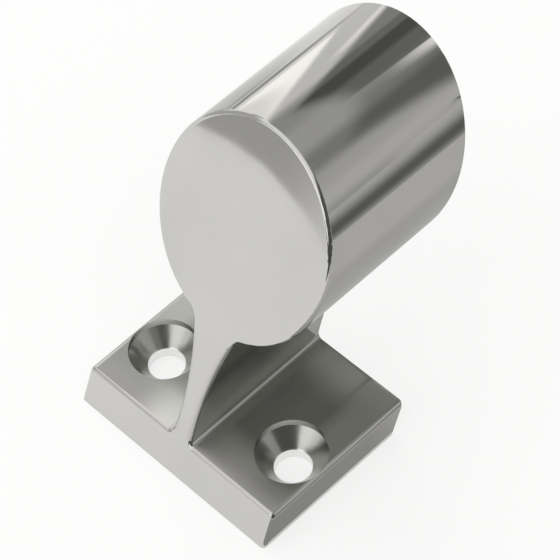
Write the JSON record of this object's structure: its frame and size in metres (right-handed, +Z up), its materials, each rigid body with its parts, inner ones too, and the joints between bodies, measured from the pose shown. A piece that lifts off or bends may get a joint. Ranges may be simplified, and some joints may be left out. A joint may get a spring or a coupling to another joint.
{
  "type": "handrail bracket",
  "caption": "Raked end bracket for a round handrail: a countersunk rectangular foot, a slim upright web and a socket that is closed at the front, cast in one piece.",
  "frame": {"origin": "midway between the two screw holes, on the mounting face under the foot", "axes": "+X to the right seen from the closed front, +Y along the rail from the closed front to the socket's mouth, +Z up from the mounting face"},
  "size_m": [0.0366, 0.0501, 0.0526],
  "materials": {
    "polished_steel": "mirror polished stainless steel"
  },
  "bodies": {
    "root": {"bracket_casting": "polished_steel"}
  },
  "joints": []
}
